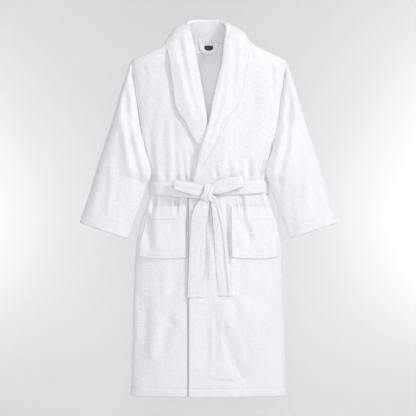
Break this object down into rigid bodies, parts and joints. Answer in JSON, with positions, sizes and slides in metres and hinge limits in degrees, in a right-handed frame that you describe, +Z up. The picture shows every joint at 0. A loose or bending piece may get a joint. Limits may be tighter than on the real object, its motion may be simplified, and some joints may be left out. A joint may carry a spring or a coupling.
{
  "type": "bathrobe",
  "caption": "Knee-length terry bathrobe with shawl collar, wide sleeves, patch pockets and a waist belt tied in a bow, hanging closed.",
  "frame": {"origin": "on the centre line at shoulder height, inside the neck, where a hanger's neck sits", "axes": "+Z up, front faces -Y, the wearer's left is at +X"},
  "size_m": [0.8282, 0.135, 1.221],
  "materials": {
    "terry": "white cotton terry, looped pile",
    "terry_collar": "white cotton terry, two layers",
    "terry_belt": "white cotton terry, folded and topstitched",
    "terry_inside": "white cotton terry, turned hems and facings",
    "loop_cloth": "white woven cotton",
    "label_tape": "dark woven tape, blank"
  },
  "bodies": {
    "robe": {"back_panel": "terry", "right_front": "terry", "left_front": "terry", "left_front_facing": "terry_inside", "right_front_underlap": "terry", "back_hem": "terry_inside", "right_front_hem": "terry_inside", "left_front_hem": "terry_inside", "left_lapel": "terry_collar", "right_lapel": "terry_collar", "collar_back": "terry_collar", "neck_tape": "terry_inside", "neck_label": "label_tape", "left_pocket": "terry", "right_pocket": "terry", "left_pocket_band": "terry", "right_pocket_band": "terry", "belt_band": "terry_belt", "belt_knot": "terry_belt", "right_bow_loop": "terry_belt", "left_bow_loop": "terry_belt", "left_belt_carrier": "terry_belt", "right_belt_carrier": "terry_belt"},
    "left_sleeve": {"left_sleeve": "terry", "left_cuff_hem": "terry_inside"},
    "right_sleeve": {"right_sleeve": "terry", "right_cuff_hem": "terry_inside"},
    "left_belt_tail": {"left_belt_tail": "terry_belt"},
    "right_belt_tail": {"right_belt_tail": "terry_belt"},
    "hang_loop": {"hang_loop": "loop_cloth"},
    "front_corner": {"left_front_corner": "terry", "left_front_corner_hem": "terry_inside"}
  },
  "joints": [
    {"name": "left_sleeve_raise", "type": "hinge", "parent": "robe", "child": "left_sleeve", "pos_m": [0.2565, 0, -0.047], "axis": [0, -1, 0], "range_deg": [0, 32]},
    {"name": "right_sleeve_raise", "type": "hinge", "parent": "robe", "child": "right_sleeve", "pos_m": [-0.2565, 0, -0.047], "axis": [0, 1, 0], "range_deg": [0, 32]},
    {"name": "left_belt_tail_lift", "type": "hinge", "parent": "robe", "child": "left_belt_tail", "pos_m": [0.012, -0.066, -0.516], "axis": [-1, 0, 0], "range_deg": [0, 80]},
    {"name": "right_belt_tail_lift", "type": "hinge", "parent": "robe", "child": "right_belt_tail", "pos_m": [-0.035, -0.066, -0.516], "axis": [-1, 0, 0], "range_deg": [0, 80]},
    {"name": "hang_loop_flip", "type": "hinge", "parent": "robe", "child": "hang_loop", "pos_m": [0, 0.0295, 0.017], "axis": [-1, 0, 0], "range_deg": [0, 150]},
    {"name": "front_corner_lift", "type": "hinge", "parent": "robe", "child": "front_corner", "pos_m": [0.029, -0.0605, -1.0155], "axis": [-0.6189, 0, 0.7855], "range_deg": [0, 100]}
  ]
}
